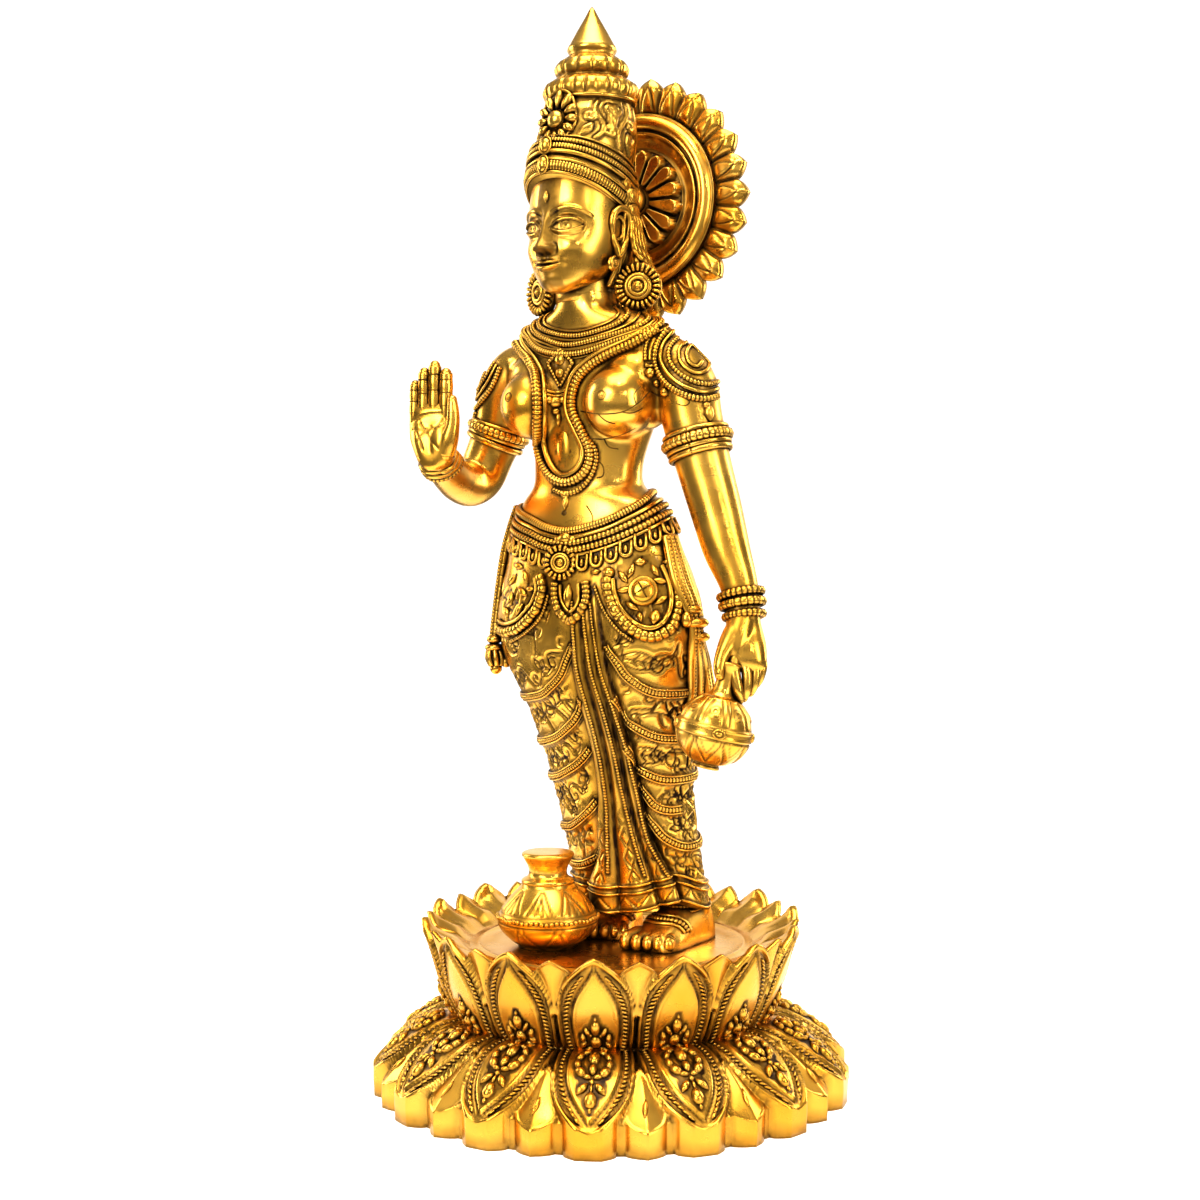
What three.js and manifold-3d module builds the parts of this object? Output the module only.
// A standing goddess idol in cast brass: a draped and jewelled woman with a tall crown, one palm raised and a
// small pot hanging from the other hand, a petalled halo behind the head, a water pot at the feet,
// and a two-tier lotus plinth. Millimetres, +Z up, the idol faces -Y and its left side is +X.
// The origin is the middle of the plinth's underside.
import * as THREE from 'three';
import { mergeVertices } from 'three/addons/utils/BufferGeometryUtils.js';
import Module from 'manifold-3d';

const wasm = await Module();
wasm.setup();

// Plinth
const PETALS = 14;
const PETAL_PITCH = (2 * Math.PI) / PETALS;
const FIRST_PETAL = THREE.MathUtils.degToRad(-63.33);
const SKIRT_TIP_R = 100;
const SKIRT_NOTCH_R = 92.5;
const SKIRT_SMALL_TIP_R = 98;
const SKIRT_EDGE_TOP = 6;
const JOINT_R = 62;
const JOINT_Z = 31;
const CUP_TIP_R = 78.8;
const CUP_TIP_Z = 71.5;
const CUP_SMALL_TIP_Z = 69;
const CUP_NOTCH_DROP = 7;
const CUP_BELLY_R = 73.5;
const FLOOR_R = 60;
const FLOOR_Z = 60.5;

// Water pot on the plinth's floor
const POT_X = -17.5;
const POT_Y = -22;
const POT_BELLY_R = 21;
const POT_BASE_R = 12;
const POT_NECK_R = 7.8;
const POT_COLLAR_R = 10;
const POT_MOUTH_R = 10.8;
const POT_TOP_Z = 100;
const POT_BELLY_Z = 71.5;

// Halo
const HALO_X = -11.6;
const HALO_Z = 376.8;
const HALO_FACE_Y = 38;
const HALO_BACK_Y = 46;
const HALO_TIP_R = 53;
const HALO_NOTCH_R = 44;
const HALO_RING_R = 37.7;
const HALO_DISH_R = 31;
const HALO_ROSETTE_R = 24;
const HALO_PETALS = 26;
const HALO_STUB_R = 6;
const HALO_SEAT_Y = 30;
const HALO_BOSS_BACK_Y = 12;

// Standing figure: each station is height, centre X, centre Y, half width, half depth
const BODY_STATIONS = [
  [74.5, 5.6, 15.5, 31.6, 19.2],
  [90, 3.8, 14.5, 31.0, 18.2],
  [107, 0.8, 13.4, 31.4, 18.0],
  [124, -1.8, 12.5, 33.0, 18.4],
  [141, -4.2, 11.5, 36.0, 19.6],
  [158, -7.4, 10.2, 39.2, 21.6],
  [175, -11.0, 9.0, 44.5, 24.0],
  [192, -11.6, 8.2, 49.2, 25.4],
  [208, -11.6, 8.0, 46.8, 24.6],
  [225, -12.8, 7.5, 41.4, 22.4],
  [236, -13.4, 7.0, 37.6, 20.6],
  [246, -14.4, 7.2, 32.2, 18.9],
  [252, -16.0, 7.5, 25.8, 17.4],
  [259, -16.2, 7.6, 25.0, 16.9],
  [268, -15.2, 8.0, 27.4, 16.8],
  [280, -13.8, 8.0, 32.4, 17.8],
  [294, -13.4, 8.0, 37.4, 17.4],
  [304, -13.2, 7.6, 39.6, 16.4],
  [312, -12.8, 7.0, 40.0, 15.2],
  [318, -12.6, 6.4, 35.6, 14.4],
  [323, -13.2, 5.6, 25.0, 13.6],
  [327, -14.6, 4.6, 14.4, 12.8],
  [335, -15.8, 3.6, 12.4, 12.2],
];
const DRESS_SIDE_COLUMNS = 12;
const TORSO_COLUMNS = 14;
const PLEAT_FOLDS = 4;
const PLEAT_DEPTH = 2.6;
// Height, centre X and half width of the pleats that hang down the front
const PLEAT_STATIONS = [
  [74.5, 12.5, 21],
  [88, 12.8, 20],
  [105, 10.5, 14.5],
  [136, 6.0, 9.5],
  [188, -4.5, 6.5],
  [240, -12, 6],
];
const PLEAT_TOP_Z = 190;
const HEM_BORDER_Z = 82;
// Outer height of each band across the skirt, and how far it rises towards the pleats
const SWAG_BANDS = [[102, 11], [129, 10], [144, 14], [165, 16]];
const SWAG_HALF_WIDTH = 2.2;
const SWAG_RELIEF = 1.5;
const BELT_SIDE_Z = 240;
const BELT_SAG = 13;
const BELT_RELIEF = 2.0;
// Rows of the belt: height from its upper edge and relief over the body
const BELT_ROWS = [
  [-15, 0], [-13, BELT_RELIEF], [-7.5, BELT_RELIEF], [-6, 0.6],
  [-4.5, BELT_RELIEF + 0.6], [0, BELT_RELIEF], [2, -3],
];
const COLLAR_RELIEF = 1.4;
// Rows of the bare body with its collar of two bands: height and relief
const TORSO_ROWS = [
  [222, -2], [238, 0], [246, 0], [253, 0], [260, 0], [269, 0], [281, 0], [294, 0], [305, 0],
  [312, COLLAR_RELIEF], [314.5, 0], [320, COLLAR_RELIEF], [322.5, 0], [327, 0], [335, 0],
];
// The long chain from a shoulder to its lowest point: distance from the middle and height
const CHAIN_ROUTE = [[28, 313], [18, 306], [9, 297], [7, 285], [8.5, 272], [7, 262]];
const CHAIN_LOW_Z = 257.5;
const CHAIN_R = 1.9;
const ROSETTE_X = -10.4;
const ROSETTE_Z = 220.3;
// Loops that hang from the belt: middle X, top Z, half width, drop, radius
const BELT_LOOPS = [[-7.5, 213, 6.2, 20, 2], [21.5, 217, 10.5, 27, 2.4], [-37, 214, 14, 27, 2.4]];
const LOOP_STEPS = 6;
// Strand and tassel at the right hip, and the sash at the left hip: X, Y, Z and radius
const STRAND = [[-50.6, 4, 243, 2.6], [-56.4, 3, 227, 2.6], [-60, 2, 204, 2.6], [-60, 0, 184, 2.6]];
const TASSEL = [[-60, 0, 186, 2.6], [-59.8, 0, 181, 4.6], [-58.4, 0, 173.5, 2.6]];
const SASH = [
  [20, 14, 226, 4], [26, 15, 210, 5], [30.6, 16, 195, 6], [31.5, 16.5, 180, 6], [29, 17, 168, 5.6],
  [27.6, 17, 160, 4],
];
const SASH_KNOT = [34, 11.5, 190];
const BREAST_R = 15.5;
const BREAST_SPACING = 22.5;
const BREAST_CENTRE = [-12.3, -6.5, 287];

// Head and crown: height, centre X, centre Y, half width, half depth, front tilt
const HEAD_TURN = THREE.MathUtils.degToRad(-9);
const HEAD_COLUMNS = 14;
const HEAD_STATIONS = [
  [331, -16.5, -4, 6, 8, 0],
  [336, -16.3, -2, 12.5, 14.5, 0],
  [344, -16.1, 0, 17, 20, 0],
  [355, -16, 1, 19.3, 22.8, 0],
  [366, -16, 1.6, 20.2, 23.8, 0],
  [371, -16, 2, 20.6, 24.2, 8],
  [372, -16, 2, 22.7, 26.2, 8],
  [387, -15.6, 2.4, 21.8, 24.8, 7],
  [389, -15.3, 2.8, 20, 22, 6],
  [398, -14.2, 4, 20.2, 20.4, 3],
  [413, -13.3, 4.8, 17.6, 17.6, 0],
  [416, -13.2, 4.8, 19.2, 19.2, 0],
  [422, -13, 5, 18.6, 18.6, 0],
  [424, -13, 5, 15, 15, 0],
  [426.5, -12.9, 5, 16.2, 16.2, 0],
  [432, -12.8, 5, 14, 14, 0],
  [433.5, -12.8, 5, 9.6, 9.6, 0],
  [437, -12.8, 5, 10.2, 10.2, 0],
  [453, -12.8, 5, 0.7, 0.7, 0],
];
const EAR_R = 6;
const EARRING_R = 10;
const EARRING_TURN = 0.45;
const LEFT_EARRING = [8.6, 7, 335];
const RIGHT_EARRING = [-36.6, 2, 335];

// Arms: each station is X, Y, Z and radius
const LEFT_ARM = [
  [14, 8, 304, 8], [25.4, 8, 302.4, 11.6], [32.4, 8, 292.6, 12.4], [34.6, 8, 282, 11.8], [36.6, 8, 273.5, 11.3],
  [36.8, 8, 272.5, 13.4], [38.2, 8, 266.5, 13.4], [38.6, 8, 265.5, 12], [39.4, 8, 261.5, 12],
  [39.6, 8, 260.8, 11], [45.6, 8, 242, 10.6], [51, 7, 226, 9.7],
  [57, 6.2, 212.5, 7.9], [57.6, 6, 211, 9.4], [59.6, 5.6, 205, 8.6],
  [61.4, 5, 198.4, 9.2], [62, 4.8, 197, 7.2], [64, 3.6, 191, 6.8],
];
const RIGHT_ARM = [
  [-41, 8, 304, 8], [-52, 8, 302.4, 11.6], [-59, 8, 292.6, 12.4], [-61, 7.6, 282, 11.6],
  [-63.4, 7, 274.5, 11.2], [-63.8, 6.9, 273.4, 13.2], [-66, 6.2, 267.8, 13], [-66.6, 6, 266.6, 10.8],
  [-70.2, 4, 256.8, 10.4], [-71, -3, 253.4, 10], [-69.2, -13, 254.4, 9.2], [-66, -24, 257.4, 8],
  [-64, -30.5, 259.6, 7.4], [-63.8, -31.5, 260, 8.8], [-61.8, -38, 262.6, 8.4], [-61.2, -39.4, 263.4, 6.8],
  [-60, -42, 268, 6.4],
];
const ARM_SIDES = 7;

// Raised right hand
const PALM_ROOT = [-59.6, -42.4, 262];
const PALM_TURN = THREE.MathUtils.degToRad(14);
// Height over the root, half width, half thickness and set forward of each row of the palm
const PALM_ROWS = [[0, 6.2, 5.4, 0], [6, 9.6, 5.2, 0.4], [13, 10.8, 4.6, 0.4], [21.5, 9.8, 3, 0]];
// Distance across the palm, root height, length and radius of each finger
const FINGERS = [[-7.6, 18, 17, 2.1], [-3.3, 20, 20.5, 2.3], [1.1, 20.5, 22, 2.3], [5.4, 19.5, 20, 2.2]];
// Distance across the palm, height, set forward and radius along the thumb
const THUMB = [[7, 5, 2, 4], [9.6, 12, 3.4, 3.2], [10.6, 19, 3.8, 2.7], [10.8, 24, 3.6, 1.2]];

// Lowered left hand and the pot that hangs from it
const LOWERED_PALM = [[63.4, 4, 193, 6.4], [66, 2, 187, 7.8], [67.2, -0.5, 180, 8.2], [66, -4, 173.5, 6.6]];
const LOWERED_THUMB = [[60, 0, 188, 3.4], [57, -7, 183, 3], [56, -10.5, 179, 2.6], [55.6, -12, 175.5, 1.4]];
// The first finger, and how far each next one lies from it at each station
const LOWERED_FINGER = [[66, -4, 177, 2.8], [64.6, -7, 171, 2.4], [60, -11.5, 166, 1.7]];
const LOWERED_FINGER_STEP = [[0.6, 2.6], [0.8, 3], [0.6, 3.4]];
const HELD_POT = [53.6, -9, 154.8];
const HELD_POT_R = 15;
const HELD_POT_TILT = THREE.MathUtils.degToRad(7);

// Feet
const LEFT_FOOT_LENGTH = 46;
const LEFT_FOOT_HEEL = [26, 33];
const LEFT_FOOT_TURN = THREE.MathUtils.degToRad(-4);
const LEFT_ANKLE = [25, 22];
const RIGHT_FOOT_HEEL = [-13, 34];
const RIGHT_FOOT_TURN = THREE.MathUtils.degToRad(14);
const RIGHT_FOOT_LENGTH = 38;
const RIGHT_ANKLE = [-13, 24];
// Offset across the foot, half width and reach of each toe of the left foot, from the great toe;
// the right foot, behind the water pot, has its toes in one block
const LEFT_TOES = [[-8, 3, 1.02], [-3.4, 2.2, 1.005], [0.6, 2.1, 0.985], [4.6, 2.1, 0.96], [8.4, 2.1, 0.93]];
const TOE_BLOCK = [[0.93, 10.4, 5.4], [1, 8.6, 4]];

// Helpers
const vec = (x, y, z) => new THREE.Vector3(x, y, z);

// A value read from a table of rows sorted by their first number
function stationAt(rows, key) {
  if (key <= rows[0][0]) return rows[0];
  for (let i = 1; i < rows.length; i += 1) {
    if (key <= rows[i][0]) {
      const low = rows[i - 1];
      const high = rows[i];
      const t = (key - low[0]) / (high[0] - low[0]);
      const before = rows[Math.max(i - 2, 0)];
      const after = rows[Math.min(i + 1, rows.length - 1)];
      return low.map((value, k) => {
        const slopeLow = (high[k] - before[k]) / (high[0] - before[0]);
        const slopeHigh = (after[k] - low[k]) / (after[0] - low[0]);
        const span = high[0] - low[0];
        const t2 = t * t;
        const t3 = t2 * t;
        return (2 * t3 - 3 * t2 + 1) * value + (t3 - 2 * t2 + t) * span * slopeLow
          + (3 * t2 - 2 * t3) * high[k] + (t3 - t2) * span * slopeHigh;
      });
    }
  }
  return rows[rows.length - 1];
}

function geometryFrom(positions, index) {
  const geometry = new THREE.BufferGeometry();
  geometry.setAttribute('position', new THREE.Float32BufferAttribute(positions, 3));
  geometry.setIndex(index);
  return geometry;
}

function signedVolume(positions, index) {
  const a = vec(0, 0, 0);
  const b = vec(0, 0, 0);
  const c = vec(0, 0, 0);
  let volume = 0;
  for (let i = 0; i < index.length; i += 3) {
    a.fromArray(positions, index[i] * 3);
    b.fromArray(positions, index[i + 1] * 3);
    c.fromArray(positions, index[i + 2] * 3);
    volume += a.dot(b.cross(c));
  }
  return volume;
}

// A closed solid through rings of points, each end closed with a fan
function ringSolid(rings) {
  const count = rings[0].length;
  const positions = [];
  const index = [];
  rings.forEach((ring) => ring.forEach((p) => positions.push(p.x, p.y, p.z)));
  for (let r = 0; r + 1 < rings.length; r += 1) {
    for (let i = 0; i < count; i += 1) {
      const a = r * count + i;
      const b = r * count + ((i + 1) % count);
      index.push(a, b, b + count, a, b + count, a + count);
    }
  }
  [0, rings.length - 1].forEach((r) => {
    const middle = positions.length / 3;
    const centre = vec(0, 0, 0);
    rings[r].forEach((p) => centre.add(p));
    centre.divideScalar(count);
    positions.push(centre.x, centre.y, centre.z);
    for (let i = 0; i < count; i += 1) {
      const a = r * count + i;
      const b = r * count + ((i + 1) % count);
      if (r === 0) index.push(middle, b, a);
      else index.push(middle, a, b);
    }
  });
  if (signedVolume(positions, index) < 0) index.reverse();
  return geometryFrom(positions, index);
}

// A tube through stations of X, Y, Z and radius, flattened across one direction if asked
function tubeSolid(stations, sides, flat = 1, flatAxis = vec(0, 1, 0)) {
  const points = stations.map(([x, y, z]) => vec(x, y, z));
  let side = vec(0, 0, 0);
  const rings = points.map((p, i) => {
    const ahead = points[Math.min(i + 1, points.length - 1)];
    const behind = points[Math.max(i - 1, 0)];
    const along = ahead.clone().sub(behind).normalize();
    if (i === 0) side.crossVectors(flatAxis, along).normalize();
    else side.addScaledVector(along, -side.dot(along)).normalize();
    const up = vec(0, 0, 0).crossVectors(along, side);
    const radius = stations[i][3];
    return Array.from({ length: sides }, (_, k) => {
      const angle = (2 * Math.PI * k) / sides;
      return p.clone()
        .addScaledVector(side, radius * Math.cos(angle))
        .addScaledVector(up, radius * flat * Math.sin(angle));
    });
  });
  return ringSolid(rings);
}

// A turned solid about +Z; the profile is radius and height pairs from the axis back to the axis
function turnedSolid(profile, sides) {
  const points = profile.map(([r, z]) => new THREE.Vector2(r, z));
  const geometry = new THREE.LatheGeometry(points, sides);
  geometry.rotateX(Math.PI / 2);
  return geometry;
}

function toManifold(geometry) {
  const plain = geometry.clone();
  plain.deleteAttribute('normal');
  plain.deleteAttribute('uv');
  const merged = mergeVertices(plain, 1e-4);
  const triVerts = [];
  const found = merged.index.array;
  for (let i = 0; i < found.length; i += 3) {
    const [a, b, c] = [found[i], found[i + 1], found[i + 2]];
    if (a !== b && b !== c && a !== c) triVerts.push(a, b, c);
  }
  const vertProperties = Float32Array.from(merged.attributes.position.array);
  if (signedVolume(vertProperties, triVerts) < 0) triVerts.reverse();
  return new wasm.Manifold(new wasm.Mesh({ numProp: 3, vertProperties, triVerts: Uint32Array.from(triVerts) }));
}

function joined(geometries) {
  let whole = toManifold(geometries[0]);
  geometries.slice(1).forEach((geometry) => {
    whole = whole.add(toManifold(geometry));
  });
  const mesh = whole.getMesh();
  return geometryFrom(Array.from(mesh.vertProperties), Array.from(mesh.triVerts));
}

// Lotus plinth
// Columns of one petal pitch: share of the pitch, how much each column belongs to the large
// petal's keel, to its flank, to the valley and to the small petal's keel, and where it runs
// to on a plain ring, which keeps two points for each petal
const PETAL_COLUMNS = [
  { share: 0, plain: 0, keel: 1, flank: 0, valley: 0, small: 0 },
  { share: 0.13, plain: 0, keel: 0, flank: 1, valley: 0, small: 0 },
  { share: 0.3, plain: 0.5, keel: 0, flank: 0, valley: 1, small: 0 },
  { share: 0.5, plain: 0.5, keel: 0, flank: 0, valley: 0, small: 1 },
  { share: 0.7, plain: 0.5, keel: 0, flank: 0, valley: 1, small: 0 },
  { share: 0.87, plain: 1, keel: 0, flank: 1, valley: 0, small: 0 },
];

function petalRing(radiusAndHeight, isPlain = false) {
  const ring = [];
  for (let p = 0; p < PETALS; p += 1) {
    PETAL_COLUMNS.forEach((column) => {
      const angle = FIRST_PETAL + (p + (isPlain ? column.plain : column.share)) * PETAL_PITCH;
      const [radius, height] = radiusAndHeight(column);
      ring.push(vec(radius * Math.cos(angle), radius * Math.sin(angle), height));
    });
  }
  return ring;
}

function lotusSkirt() {
  const edge = (c) => SKIRT_TIP_R * c.keel + (SKIRT_TIP_R - 2.2) * c.flank
    + SKIRT_NOTCH_R * c.valley + SKIRT_SMALL_TIP_R * c.small;
  const relief = (c, large, small) => large * (0.9 * c.keel + c.flank) - 2.4 * c.valley + small * c.small;
  return ringSolid([
    petalRing((c) => [edge(c), 0]),
    petalRing((c) => [edge(c), SKIRT_EDGE_TOP - 1.5 * c.valley]),
    petalRing((c) => [0.66 * edge(c) + 0.34 * JOINT_R, 20 + relief(c, 1.2, 0)]),
    petalRing((c) => [0.3 * edge(c) + 0.7 * JOINT_R, 28.5 + relief(c, 0.9, -2.4)]),
    petalRing(() => [JOINT_R, JOINT_Z], true),
  ]);
}

function lotusCup() {
  const rimHeight = (c) => CUP_TIP_Z * c.keel + (CUP_TIP_Z - 2.2) * c.flank
    + (CUP_TIP_Z - CUP_NOTCH_DROP) * c.valley + CUP_SMALL_TIP_Z * c.small;
  const rimRadius = (c) => CUP_TIP_R * (c.keel + c.flank) + (CUP_TIP_R - 3.2) * (c.valley + c.small);
  const belly = (c, radius) => radius - 2.6 * c.valley - 2.2 * c.small + 0.6 * c.flank;
  return ringSolid([
    petalRing(() => [JOINT_R, JOINT_Z], true),
    petalRing((c) => [belly(c, JOINT_R + 7.5), 40]),
    petalRing((c) => [belly(c, CUP_BELLY_R), 54]),
    petalRing((c) => [rimRadius(c), rimHeight(c)]),
    petalRing((c) => [rimRadius(c) - 5, rimHeight(c) - 1.4]),
    petalRing(() => [FLOOR_R, FLOOR_Z], true),
  ]);
}

// Water pot
function waterPot() {
  const foot = FLOOR_Z;
  const pot = turnedSolid([
    [0, foot], [POT_BASE_R, foot], [POT_BASE_R + 1, foot + 1.5], [POT_BELLY_R - 2.5, POT_BELLY_Z - 5],
    [POT_BELLY_R, POT_BELLY_Z - 1.5], [POT_BELLY_R, POT_BELLY_Z + 1.5], [POT_BELLY_R - 3, POT_BELLY_Z + 7],
    [POT_COLLAR_R + 0.8, 85.5], [POT_COLLAR_R, 88.5], [POT_NECK_R, 89.5], [POT_NECK_R, 92],
    [POT_MOUTH_R, 98], [POT_MOUTH_R, 99.2], [POT_MOUTH_R - 1.2, POT_TOP_Z], [0, POT_TOP_Z],
  ], 14);
  pot.translate(POT_X, POT_Y, 0);
  return joined([pot]);
}

// Halo: a ring of points in the X and Z plane, four for each petal, or one where the ring is plain
const HALO_COLUMNS = [
  { share: 0, plain: 0, tip: 0 },
  { share: 0.28, plain: 0, tip: 0.72 },
  { share: 0.5, plain: 1, tip: 1 },
  { share: 0.72, plain: 1, tip: 0.72 },
];

function haloRing(radiusAndDepth, isPlain = false) {
  const ring = [];
  for (let p = 0; p < HALO_PETALS; p += 1) {
    HALO_COLUMNS.forEach((column) => {
      const share = isPlain ? column.plain : column.share;
      const angle = ((p + share) / HALO_PETALS) * 2 * Math.PI;
      const [radius, depth] = radiusAndDepth(column);
      ring.push(vec(HALO_X + radius * Math.cos(angle), depth, HALO_Z + radius * Math.sin(angle)));
    });
  }
  return ring;
}

function halo() {
  const tipRadius = (c) => HALO_NOTCH_R + (HALO_TIP_R - HALO_NOTCH_R) * c.tip;
  const disc = ringSolid([
    haloRing(() => [HALO_ROSETTE_R - 12, HALO_FACE_Y - 1], true),
    haloRing(() => [HALO_ROSETTE_R, HALO_FACE_Y], true),
    haloRing(() => [HALO_ROSETTE_R + 0.8, HALO_FACE_Y + 3.4], true),
    haloRing(() => [HALO_DISH_R, HALO_FACE_Y + 2.2], true),
    haloRing(() => [HALO_DISH_R + 3.4, HALO_FACE_Y - 0.6], true),
    haloRing(() => [HALO_RING_R, HALO_FACE_Y + 2.4], true),
    haloRing((c) => [tipRadius(c), HALO_FACE_Y + 5 - 1.2 * c.tip]),
    haloRing((c) => [tipRadius(c) - 0.4, HALO_BACK_Y]),
  ]);
  const stub = new THREE.CylinderGeometry(HALO_STUB_R, HALO_STUB_R, HALO_FACE_Y + 1 - HALO_SEAT_Y, 10);
  stub.translate(HALO_X, (HALO_FACE_Y + 1 + HALO_SEAT_Y) / 2, HALO_Z);
  return joined([disc, stub]);
}

// Figure
function frontness(angle) {
  return Math.max(0, -Math.sin(angle)) ** 2;
}

function bodyPoint(angle, z, relief) {
  const [, cx, cy, width, depth] = stationAt(BODY_STATIONS, z);
  return vec(cx + (width + relief) * Math.cos(angle), cy + (depth + relief) * Math.sin(angle), z);
}

// Angles of the columns round the dress: the pleats hold nine of them, the rest share what is left
function dressColumns(z) {
  const [, cx, , width] = stationAt(BODY_STATIONS, z);
  const [, pleatX, pleatHalf] = stationAt(PLEAT_STATIONS, z);
  const toAngle = (x) => -Math.acos(THREE.MathUtils.clamp((x - cx) / width, -0.97, 0.97));
  const start = toAngle(pleatX - pleatHalf);
  const end = toAngle(pleatX + pleatHalf);
  const columns = [];
  const steps = 2 * PLEAT_FOLDS;
  for (let i = 0; i <= steps; i += 1) {
    columns.push({ angle: start + ((end - start) * i) / steps, fold: i % 2 });
  }
  const rest = 2 * Math.PI - (end - start);
  for (let i = 1; i <= DRESS_SIDE_COLUMNS; i += 1) {
    columns.push({ angle: end + (rest * i) / (DRESS_SIDE_COLUMNS + 1), fold: 0 });
  }
  return columns;
}

function dressRing(sideZ, rise, relief, pleated = 0) {
  return dressColumns(sideZ).map(({ angle, fold }) => {
    const z = sideZ + rise * frontness(angle);
    return bodyPoint(angle, z, relief + pleated * PLEAT_DEPTH * (fold - 0.25));
  });
}

function dress() {
  const rings = [
    dressRing(74.5, 0, -1, 1),
    dressRing(76, 0, 0.6, 1),
    dressRing(HEM_BORDER_Z, 0, 0.6, 1),
    dressRing(HEM_BORDER_Z + 3, 0, -0.2, 1),
  ];
  SWAG_BANDS.forEach(([z, rise]) => {
    rings.push(dressRing(z - SWAG_HALF_WIDTH, rise, -0.2, 1));
    rings.push(dressRing(z, rise, SWAG_RELIEF, 1));
    rings.push(dressRing(z + SWAG_HALF_WIDTH, rise, -0.2, 1));
  });
  rings.push(dressRing(PLEAT_TOP_Z, 0, 0, 0.7));
  rings.push(dressRing(208, 0, 0));
  BELT_ROWS.forEach(([dz, relief]) => rings.push(dressRing(BELT_SIDE_Z + dz, -BELT_SAG, relief)));
  return ringSolid(rings);
}

function torso() {
  return ringSolid(TORSO_ROWS.map(([z, relief]) => Array.from(
    { length: TORSO_COLUMNS },
    (_, k) => bodyPoint((2 * Math.PI * k) / TORSO_COLUMNS, z, relief),
  )));
}

function head() {
  return ringSolid(HEAD_STATIONS.map(([z, cx, cy, width, depth, tilt]) => Array.from(
    { length: HEAD_COLUMNS },
    (_, k) => {
      const around = (2 * Math.PI * k) / HEAD_COLUMNS;
      const local = vec(width * Math.cos(around), depth * Math.sin(around), 0);
      local.applyAxisAngle(vec(0, 0, 1), HEAD_TURN);
      const towardsFront = Math.max(0, Math.cos(around + Math.PI / 2));
      return vec(cx + local.x, cy + local.y, z + tilt * towardsFront);
    },
  )));
}

function headPoint(around, outward, z) {
  const [, cx, cy, width, depth] = stationAt(HEAD_STATIONS, z);
  const local = vec((width + outward) * Math.cos(around), (depth + outward) * Math.sin(around), 0);
  local.applyAxisAngle(vec(0, 0, 1), HEAD_TURN);
  return vec(cx + local.x, cy + local.y, z);
}

function nose() {
  const front = -Math.PI / 2;
  const top = headPoint(front, -1.5, 362);
  const tip = headPoint(front, 2.2, 350.5);
  const under = headPoint(front, -2, 347.5);
  return tubeSolid([
    [top.x, top.y, top.z, 1.4], [tip.x, tip.y, tip.z, 3], [under.x, under.y, under.z, 2.6],
  ], 6);
}

function chin() {
  const front = -Math.PI / 2;
  const lips = headPoint(front, 0.2, 342);
  const ball = new THREE.SphereGeometry(4.4, 6, 4);
  ball.scale(1.3, 1, 0.8);
  return ball.translate(lips.x, lips.y + 3.4, lips.z);
}

function ear(side) {
  const around = side > 0 ? -0.02 : Math.PI + 0.02;
  const middle = headPoint(around, 0.6, 354);
  const shell = new THREE.SphereGeometry(EAR_R, 6, 5);
  shell.rotateX(Math.PI / 2);
  shell.scale(0.6, 0.75, 2.2);
  return shell.translate(middle.x, middle.y + 2, middle.z);
}

function sideCurl(side) {
  const around = side > 0 ? 0.42 : Math.PI - 0.42;
  const top = headPoint(around, 0.5, 366);
  const middle = headPoint(around, 1.6, 356);
  const low = headPoint(around, 3.4, 346);
  return tubeSolid([
    [top.x, top.y, top.z, 2.6], [middle.x, middle.y, middle.z, 3], [low.x + 2.5 * side, low.y + 2, low.z, 3.4],
    [low.x + 3 * side, low.y + 3, low.z - 2.5, 1.6],
  ], 6);
}

function templeOrnament(side) {
  const around = side > 0 ? 0.12 : Math.PI - 0.12;
  const middle = headPoint(around, 1.6, 374);
  const boss = new THREE.SphereGeometry(4.6, 6, 4);
  boss.scale(0.7, 1, 1.5);
  return boss.translate(middle.x, middle.y, middle.z);
}

function crownMedallion() {
  const middle = headPoint(-Math.PI / 2, 0.2, 402);
  const flower = turnedSolid([[0, -3], [6.5, -3], [7, 0.8], [4, 1.6], [2.6, 3], [0, 3.4]], 8);
  flower.rotateX(Math.PI / 2);
  flower.rotateX(0.12);
  flower.rotateZ(HEAD_TURN);
  return flower.translate(middle.x, middle.y, middle.z);
}

function earring(centre, side) {
  const disc = turnedSolid([
    [0, -2.4], [EARRING_R, -2.4], [EARRING_R - 0.6, 1.6], [EARRING_R - 4, 1], [3, 3], [0, 3.2],
  ], 10);
  disc.rotateX(Math.PI / 2);
  disc.rotateZ(side * EARRING_TURN);
  return disc.translate(...centre);
}

function breast(side) {
  const ball = new THREE.SphereGeometry(BREAST_R, 10, 6);
  ball.rotateX(Math.PI / 2);
  ball.scale(0.98, 1.12, 0.98);
  const [x, y, z] = BREAST_CENTRE;
  return ball.translate(x + side * BREAST_SPACING, y, z);
}

// The chest's surface under the ornaments, breasts included
function chestFront(x, z) {
  const [, cx, cy, width, depth] = stationAt(BODY_STATIONS, z);
  const reach = THREE.MathUtils.clamp((x - cx) / width, -1, 1);
  let y = cy - depth * Math.sqrt(1 - reach * reach);
  [-1, 1].forEach((side) => {
    const dx = (x - BREAST_CENTRE[0] - side * BREAST_SPACING) / 0.98;
    const dz = (z - BREAST_CENTRE[2]) / 0.98;
    const inside = BREAST_R * BREAST_R - dx * dx - dz * dz;
    if (inside > 0) y = Math.min(y, BREAST_CENTRE[1] - 1.12 * Math.sqrt(inside));
  });
  return y;
}

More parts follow.
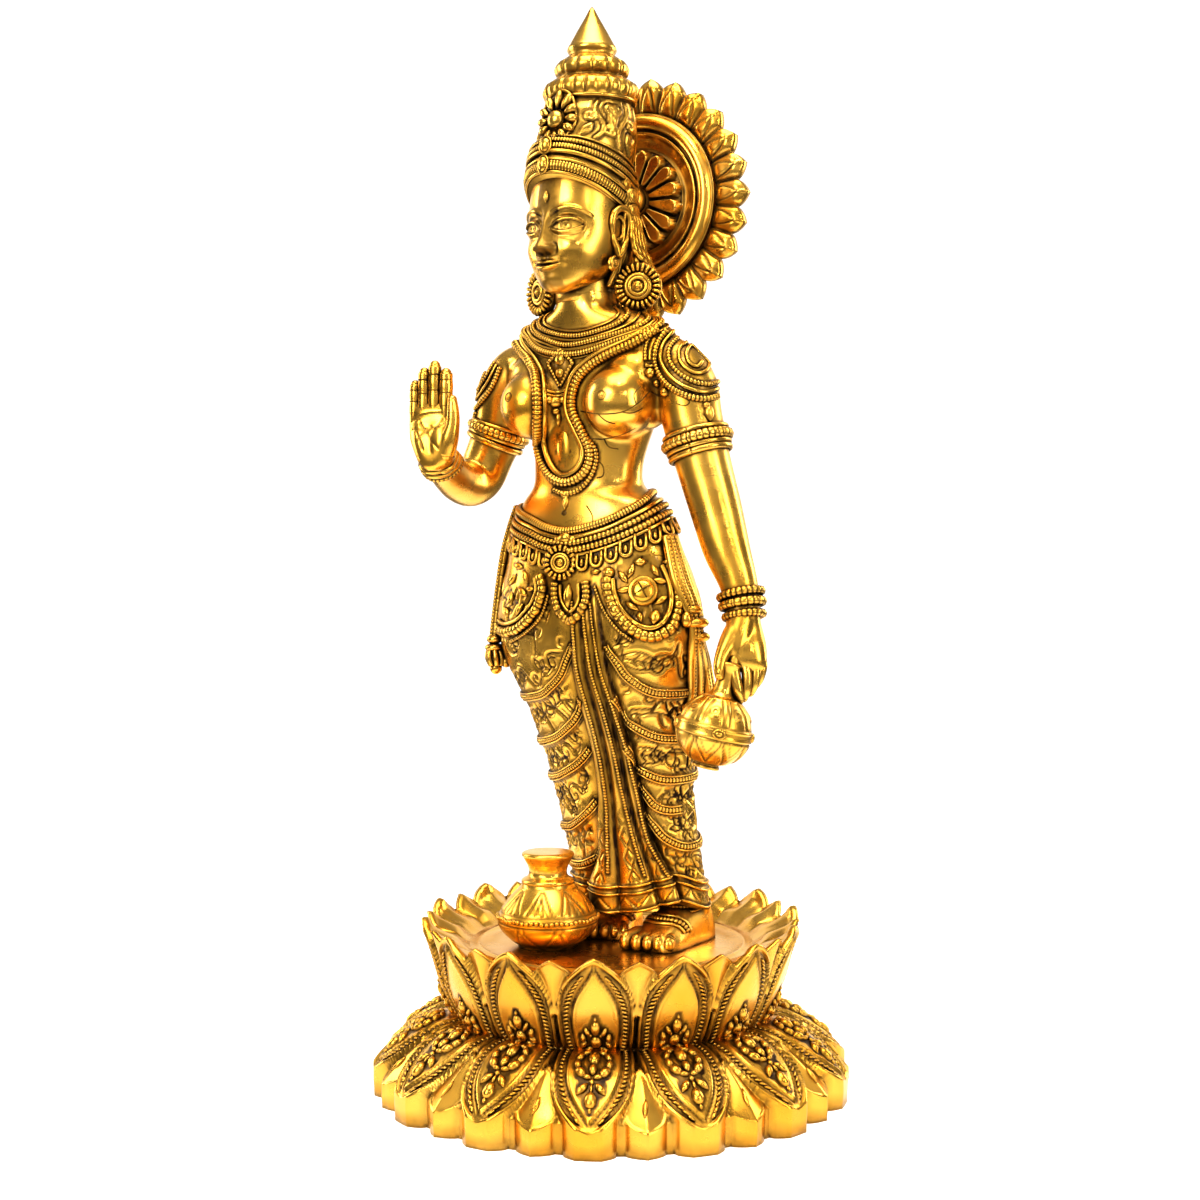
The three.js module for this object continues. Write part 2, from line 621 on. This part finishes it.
// The long chain: down from both shoulders round the breasts to a loop above the navel
function longChain() {
  const middleX = (z) => stationAt(BODY_STATIONS, z)[1] + 2.4;
  const left = CHAIN_ROUTE.map(([dx, z]) => [middleX(z) + dx, z]);
  const right = CHAIN_ROUTE.map(([dx, z]) => [middleX(z) - dx, z]).reverse();
  const route = [...left, [middleX(CHAIN_LOW_Z), CHAIN_LOW_Z], ...right];
  return tubeSolid(route.map(([x, z]) => [x, chestFront(x, z) - 0.1 * CHAIN_R, z, CHAIN_R]), 4);
}

function chestPendants() {
  const x = stationAt(BODY_STATIONS, 298)[1] - 2;
  const jewel = turnedSolid([[0, -2], [6.5, -2], [5, 1.4], [0, 2.2]], 4);
  jewel.scale(0.85, 1.3, 1);
  jewel.rotateX(Math.PI / 2);
  jewel.translate(x, chestFront(x, 299) - 0.4, 299);
  const lotus = turnedSolid([[0, -2], [4.2, -2], [3.4, 1.6], [0, 2.4]], 6);
  lotus.rotateX(Math.PI / 2);
  lotus.translate(x, chestFront(x, 286) - 0.6, 285.5);
  const drop = new THREE.SphereGeometry(2.6, 6, 4);
  drop.scale(0.8, 0.8, 1.6);
  drop.translate(middleDropX(), chestFront(middleDropX(), 251) - 0.3, 251);
  return [jewel, lotus, drop];
}

function middleDropX() {
  return stationAt(BODY_STATIONS, 251)[1] + 2;
}

function epaulette(side) {
  const [x, y, z] = side > 0 ? LEFT_ARM[2] : RIGHT_ARM[2];
  const plate = turnedSolid([[0, -8], [11, -8], [11.4, -5.4], [8.6, -1.4], [5, 0.6], [0, 1.2]], 8);
  plate.scale(0.86, 1.15, 1);
  plate.rotateX(Math.PI / 2);
  const turn = side > 0 ? 0.8 : -0.9;
  plate.rotateZ(turn);
  const out = 12;
  return plate.translate(x + out * Math.sin(turn), y - out * Math.cos(turn), z + 1);
}

function beltRosette() {
  const rosette = turnedSolid([[0, -4], [7, -4], [7.6, 0.6], [6, 1.8], [4, 1.2], [3.2, 3.4], [0, 3.8]], 10);
  rosette.rotateX(Math.PI / 2);
  return rosette.translate(ROSETTE_X, surfaceFront(ROSETTE_X, ROSETTE_Z) - 2.2, ROSETTE_Z);
}

function surfaceFront(x, z) {
  const [, cx, cy, width, depth] = stationAt(BODY_STATIONS, z);
  const reach = THREE.MathUtils.clamp((x - cx) / width, -1, 1);
  return cy - depth * Math.sqrt(1 - reach * reach);
}

// A beaded loop that hangs from the belt, from one top end round to the other
function hangingLoop([middleX, topZ, halfWidth, drop, radius]) {
  const route = [];
  for (let i = 0; i <= LOOP_STEPS; i += 1) {
    const t = (Math.PI * i) / LOOP_STEPS;
    const x = middleX - halfWidth * Math.cos(t) * (1 - 0.12 * Math.sin(t));
    const z = topZ - drop * Math.sin(t) ** 0.8;
    route.push([x, surfaceFront(x, z) - 0.5 * radius, z, radius]);
  }
  return tubeSolid(route, 4);
}

function sash() {
  const cloth = tubeSolid(SASH, 6, 0.55, vec(1, 0, 0));
  const knot = new THREE.SphereGeometry(4.2, 6, 5);
  knot.scale(1, 1.2, 0.8);
  return [cloth, knot.translate(...SASH_KNOT)];
}

function raisedHand() {
  const across = vec(Math.cos(PALM_TURN), Math.sin(PALM_TURN), 0);
  const facing = vec(Math.sin(PALM_TURN), -Math.cos(PALM_TURN), 0);
  const root = vec(...PALM_ROOT);
  const at = (u, w, n = 0) => root.clone().addScaledVector(across, u).addScaledVector(facing, n)
    .add(vec(0, 0, w));
  const palm = ringSolid(PALM_ROWS.map(([w, width, thick, n]) => Array.from({ length: 8 }, (_, k) => {
    const angle = (2 * Math.PI * k) / 8;
    return at(width * Math.cos(angle), w, n + thick * Math.sin(angle));
  })));
  const fingers = FINGERS.map(([u, w, length, radius]) => {
    const stations = [[w - 3, radius], [w + length - 2.4, radius], [w + length, radius * 0.45]];
    const points = stations.map(([height, r]) => [...at(u, height, 0.3 - 0.02 * (height - w)).toArray(), r]);
    return tubeSolid(points, 6);
  });
  const thumb = tubeSolid(THUMB.map(([u, w, n, r]) => [...at(u, w, n).toArray(), r]), 6);
  return [palm, ...fingers, thumb];
}

function loweredHand() {
  const palm = tubeSolid(LOWERED_PALM, 8, 0.62, vec(1, 0, 0));
  const thumb = tubeSolid(LOWERED_THUMB, 6);
  const fingers = [0, 1, 2, 3].map((i) => tubeSolid(LOWERED_FINGER.map(([x, y, z, r], k) => [
    x + i * LOWERED_FINGER_STEP[k][0], y + i * LOWERED_FINGER_STEP[k][1], z, r,
  ]), 5));
  return [palm, thumb, ...fingers];
}

function heldPot() {
  const r = HELD_POT_R;
  const pot = turnedSolid([
    [0, -r - 0.6], [5.4, -r - 0.6], [5.4, -r + 2], [r * 0.72, -r * 0.68], [r * 0.97, -r * 0.2], [r * 1.03, 0],
    [r * 0.97, r * 0.22], [r * 0.7, r * 0.74], [4.4, r + 1.5], [4.6, r + 12], [0, r + 14],
  ], 10);
  pot.rotateY(HELD_POT_TILT);
  return pot.translate(...HELD_POT);
}

function footPoint([heelX, heelY], turn, across, forward, z) {
  return vec(
    heelX + across * Math.cos(turn) + forward * Math.sin(turn),
    heelY + across * Math.sin(turn) - forward * Math.cos(turn),
    z,
  );
}

// The rows are a share of the foot's length, its half width and its height there
function instep(heel, turn, length, endRows) {
  const rows = [
    [0, 6.5, 7], [0.12, 9, 15], [0.3, 9.4, 16.5], [0.5, 9.8, 13], [0.75, 10.6, 8.4], [0.84, 10.8, 6.6],
    ...endRows,
  ];
  const outline = [[-1, 0], [1, 0], [1, 0.5], [0.6, 0.92], [0, 1], [-0.6, 0.92], [-1, 0.5]];
  return ringSolid(rows.map(([share, half, height]) => outline.map(
    ([across, up]) => footPoint(heel, turn, across * half, share * length, FLOOR_Z + up * height),
  )));
}

function toe(heel, turn, length, [across, half, share]) {
  const reach = length * share;
  return ringSolid([[0.78 * length, 1], [reach - 1.5, 1], [reach, 0.6]].map(([forward, swell]) => [
    footPoint(heel, turn, across - half, forward, FLOOR_Z),
    footPoint(heel, turn, across + half, forward, FLOOR_Z),
    footPoint(heel, turn, across + 0.8 * half * swell, forward, FLOOR_Z + 1.6 * half * swell),
    footPoint(heel, turn, across - 0.8 * half * swell, forward, FLOOR_Z + 1.6 * half * swell),
  ]));
}

function ankle([x, y]) {
  return tubeSolid([[x, y, 70, 8.4], [x, y, 82, 9]], 7);
}

function haloBoss() {
  const length = HALO_SEAT_Y - HALO_BOSS_BACK_Y;
  const boss = new THREE.CylinderGeometry(HALO_STUB_R + 1.5, HALO_STUB_R + 1.5, length, 8);
  return boss.translate(HALO_X, HALO_BOSS_BACK_Y + length / 2, HALO_Z);
}

function goddessFigure() {
  return joined([
    dress(), torso(), head(), nose(), chin(), ear(1), ear(-1), sideCurl(1), sideCurl(-1),
    templeOrnament(1), templeOrnament(-1), crownMedallion(),
    earring(LEFT_EARRING, 1), earring(RIGHT_EARRING, -1), breast(1), breast(-1),
    longChain(), ...chestPendants(), epaulette(1), epaulette(-1),
    beltRosette(), ...BELT_LOOPS.map(hangingLoop), tubeSolid(STRAND, 5), tubeSolid(TASSEL, 6), ...sash(),
    tubeSolid(LEFT_ARM, ARM_SIDES), tubeSolid(RIGHT_ARM, ARM_SIDES),
    ...raisedHand(), ...loweredHand(), heldPot(),
    instep(LEFT_FOOT_HEEL, LEFT_FOOT_TURN, LEFT_FOOT_LENGTH, []), ankle(LEFT_ANKLE),
    ...LEFT_TOES.map((row) => toe(LEFT_FOOT_HEEL, LEFT_FOOT_TURN, LEFT_FOOT_LENGTH, row)),
    instep(RIGHT_FOOT_HEEL, RIGHT_FOOT_TURN, RIGHT_FOOT_LENGTH, TOE_BLOCK), ankle(RIGHT_ANKLE), haloBoss(),
  ]);
}

// Materials: the same polished brass, a little darker where the casting is older or rougher
const brass = new THREE.MeshStandardMaterial({ color: 0xd9a02b, roughness: 0.26, metalness: 1 });
const plinthBrass = new THREE.MeshStandardMaterial({ color: 0xcf952a, roughness: 0.3, metalness: 1 });

function part(name, geometry, material) {
  const mesh = new THREE.Mesh(geometry, material);
  mesh.name = name;
  return mesh;
}

const idol = new THREE.Group();
idol.add(
  part('lotus_skirt', joined([lotusSkirt()]), plinthBrass),
  part('lotus_cup', joined([lotusCup()]), plinthBrass),
  part('water_pot', waterPot(), brass),
  part('goddess_figure', goddessFigure(), brass),
  part('halo', halo(), brass),
);

export default idol;
